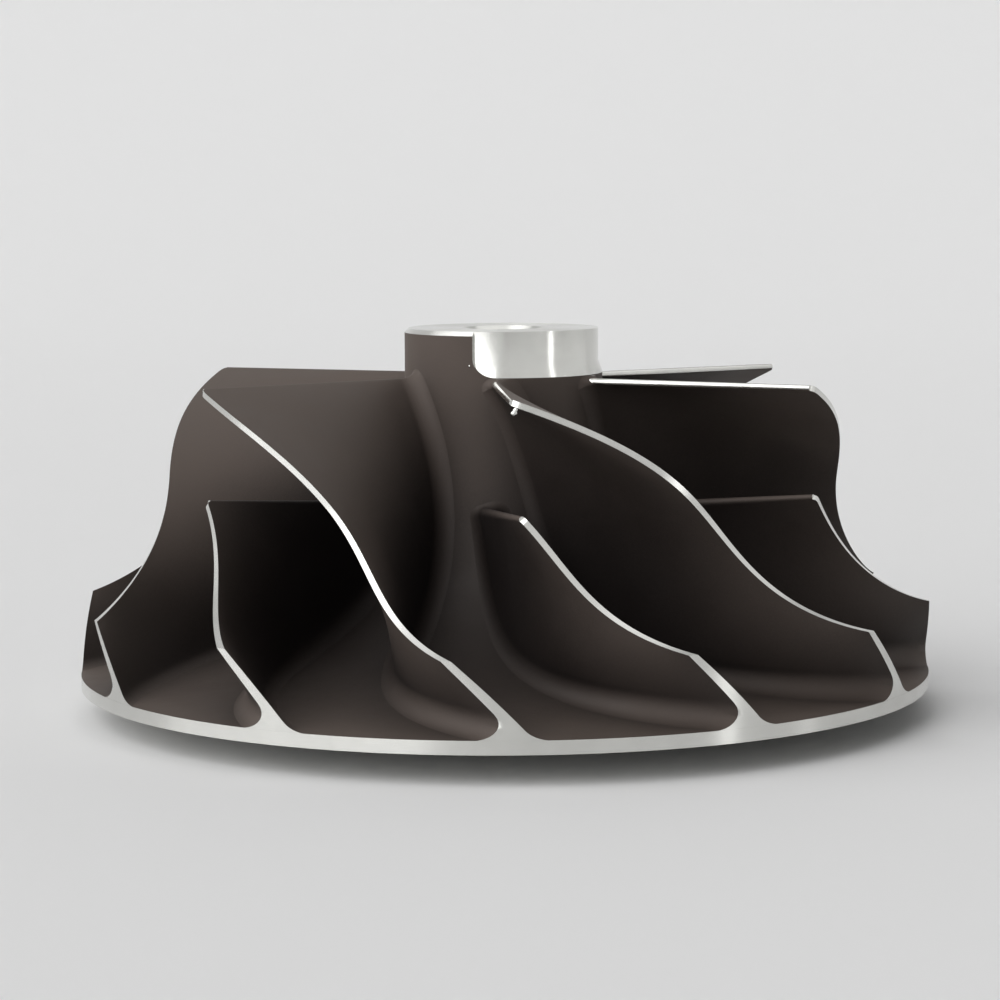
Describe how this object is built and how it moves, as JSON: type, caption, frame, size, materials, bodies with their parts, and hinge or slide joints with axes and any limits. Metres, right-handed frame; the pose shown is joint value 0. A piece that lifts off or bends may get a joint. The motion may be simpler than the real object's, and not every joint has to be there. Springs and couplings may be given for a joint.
{
  "type": "compressor wheel",
  "caption": "Cast aluminium compressor wheel of a turbocharger, with curved full and splitter blades around a bored hub, turned rim, nose and back boss, and a balance cut on the nose.",
  "frame": {"origin": "on the bore axis, in the plane of the back boss face", "axes": "+Z along the bore axis towards the air inlet; a full blade's leading edge starts near -Y"},
  "size_m": [0.058, 0.058, 0.026],
  "materials": {
    "cast_aluminium": "dark satin casting with bright turned edges"
  },
  "bodies": {
    "root": {"compressor_wheel": "cast_aluminium"}
  },
  "joints": []
}
